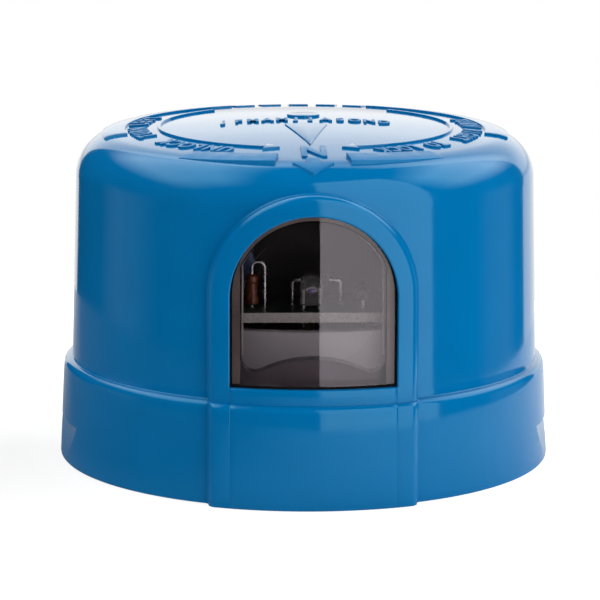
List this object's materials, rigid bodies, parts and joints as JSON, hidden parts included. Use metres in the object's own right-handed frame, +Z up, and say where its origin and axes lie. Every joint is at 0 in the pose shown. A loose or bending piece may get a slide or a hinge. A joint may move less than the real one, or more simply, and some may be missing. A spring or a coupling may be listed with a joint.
{
  "type": "photocell switch",
  "caption": "Twist-lock photocell switch with a round blue cover, an arched smoked window in a raised frame and locking blades inside its skirt.",
  "frame": {"origin": "centre of the skirt's rim, on the plane that the part stands on", "axes": "+Z up along the axis of the cover, the window faces -Y"},
  "size_m": [0.083, 0.0848, 0.0566],
  "materials": {
    "blue_plastic": "glossy",
    "smoked_window": "glossy",
    "grey_plastic": "satin",
    "gasket_rubber": "matte",
    "brass": "satin",
    "board_green": "satin",
    "plated_steel": "satin",
    "tin": "satin",
    "clear_epoxy": "glossy",
    "black_plastic": "satin",
    "blue_epoxy": "glossy",
    "film_box": "satin",
    "can_sleeve": "glossy",
    "tan_epoxy": "satin"
  },
  "bodies": {
    "root": {"cover": "blue_plastic", "window": "smoked_window", "base": "grey_plastic", "base_gasket": "gasket_rubber", "blade_neutral": "brass", "blade_line": "brass", "blade_load": "brass", "circuit_board": "board_green", "board_screws": "plated_steel", "solder_joints": "tin", "light_sensor": "clear_epoxy", "sensor_leads": "tin", "relay": "black_plastic", "relay_pins": "tin", "varistor": "blue_epoxy", "varistor_leads": "tin", "film_capacitor": "film_box", "film_capacitor_leads": "tin", "filter_capacitor": "can_sleeve", "filter_capacitor_leads": "tin", "bypass_capacitor": "can_sleeve", "bypass_capacitor_leads": "tin", "sense_resistor": "tan_epoxy", "sense_resistor_leads": "tin", "signal_diode": "black_plastic", "signal_diode_leads": "tin", "load_resistors": "tan_epoxy", "load_resistor_leads": "tin", "rectifier_diodes": "black_plastic", "rectifier_diode_leads": "tin", "transistor": "black_plastic", "transistor_leads": "tin", "light_shield": "black_plastic"}
  },
  "joints": []
}
